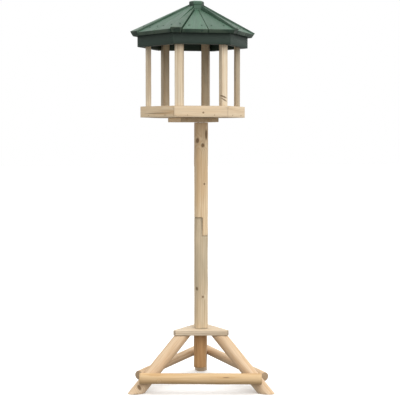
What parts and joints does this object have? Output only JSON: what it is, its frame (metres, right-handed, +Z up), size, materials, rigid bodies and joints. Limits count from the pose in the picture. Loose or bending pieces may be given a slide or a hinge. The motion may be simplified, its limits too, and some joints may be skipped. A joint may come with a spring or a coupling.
{
  "type": "bird table",
  "caption": "Free-standing wooden bird table: hexagonal feeding house with a green boarded roof on slim pillars, a jointed post, and a tripod base of round legs with stretchers.",
  "frame": {"origin": "centre of the whole table's footprint box, on the ground", "axes": "+Z up along the post, front of the feeding house towards -Y, +X to the right seen from the front"},
  "size_m": [0.3932, 0.382, 1.06],
  "materials": {
    "green_roof_paint": "thin dark green paint over sawn softwood, matt",
    "green_fascia_paint": "thin dark green paint over sawn softwood, matt",
    "pillar_wood": "planed softwood, matt",
    "tray_wood": "planed softwood, matt",
    "plate_wood": "planed softwood, matt",
    "post_wood": "turned softwood, matt",
    "hub_wood": "turned softwood, matt",
    "pole_wood": "turned softwood, matt",
    "nail_steel": "bare steel",
    "zinc_screw": "zinc plated"
  },
  "bodies": {
    "root": {"tray_floor": "tray_wood", "rim_board_1": "tray_wood", "pillar_1": "pillar_wood", "rim_board_2": "tray_wood", "pillar_2": "pillar_wood", "rim_board_3": "tray_wood", "pillar_3": "pillar_wood", "rim_board_4": "tray_wood", "pillar_4": "pillar_wood", "rim_board_5": "tray_wood", "pillar_5": "pillar_wood", "rim_board_6": "tray_wood", "pillar_6": "pillar_wood", "mounting_plate": "plate_wood", "roof_board_1a": "green_roof_paint", "roof_board_1b": "green_roof_paint", "roof_board_1c": "green_roof_paint", "roof_board_2a": "green_roof_paint", "roof_board_2b": "green_roof_paint", "roof_board_2c": "green_roof_paint", "roof_board_3a": "green_roof_paint", "roof_board_3b": "green_roof_paint", "roof_board_3c": "green_roof_paint", "roof_board_4a": "green_roof_paint", "roof_board_4b": "green_roof_paint", "roof_board_4c": "green_roof_paint", "roof_board_5a": "green_roof_paint", "roof_board_5b": "green_roof_paint", "roof_board_5c": "green_roof_paint", "roof_board_6a": "green_roof_paint", "roof_board_6b": "green_roof_paint", "roof_board_6c": "green_roof_paint", "apex_block": "green_roof_paint", "roof_cap": "green_roof_paint", "fascia_board_1": "green_fascia_paint", "fascia_board_2": "green_fascia_paint", "fascia_board_3": "green_fascia_paint", "fascia_board_4": "green_fascia_paint", "fascia_board_5": "green_fascia_paint", "fascia_board_6": "green_fascia_paint", "post_upper": "post_wood", "post_lower": "post_wood", "tripod_plate": "plate_wood", "hub_pole": "hub_wood", "leg_1": "pole_wood", "leg_2": "pole_wood", "leg_3": "pole_wood", "stretcher_front": "pole_wood", "stretcher_rear_right": "pole_wood", "stretcher_rear_left": "pole_wood", "pillar_screws": "zinc_screw", "frame_brads": "nail_steel", "roof_nails": "nail_steel", "cap_screw": "zinc_screw", "mounting_plate_screws": "zinc_screw", "post_top_screws": "zinc_screw", "lap_joint_screws": "zinc_screw", "post_dowel": "zinc_screw", "leg_screws": "zinc_screw", "stretcher_screws": "zinc_screw"}
  },
  "joints": []
}
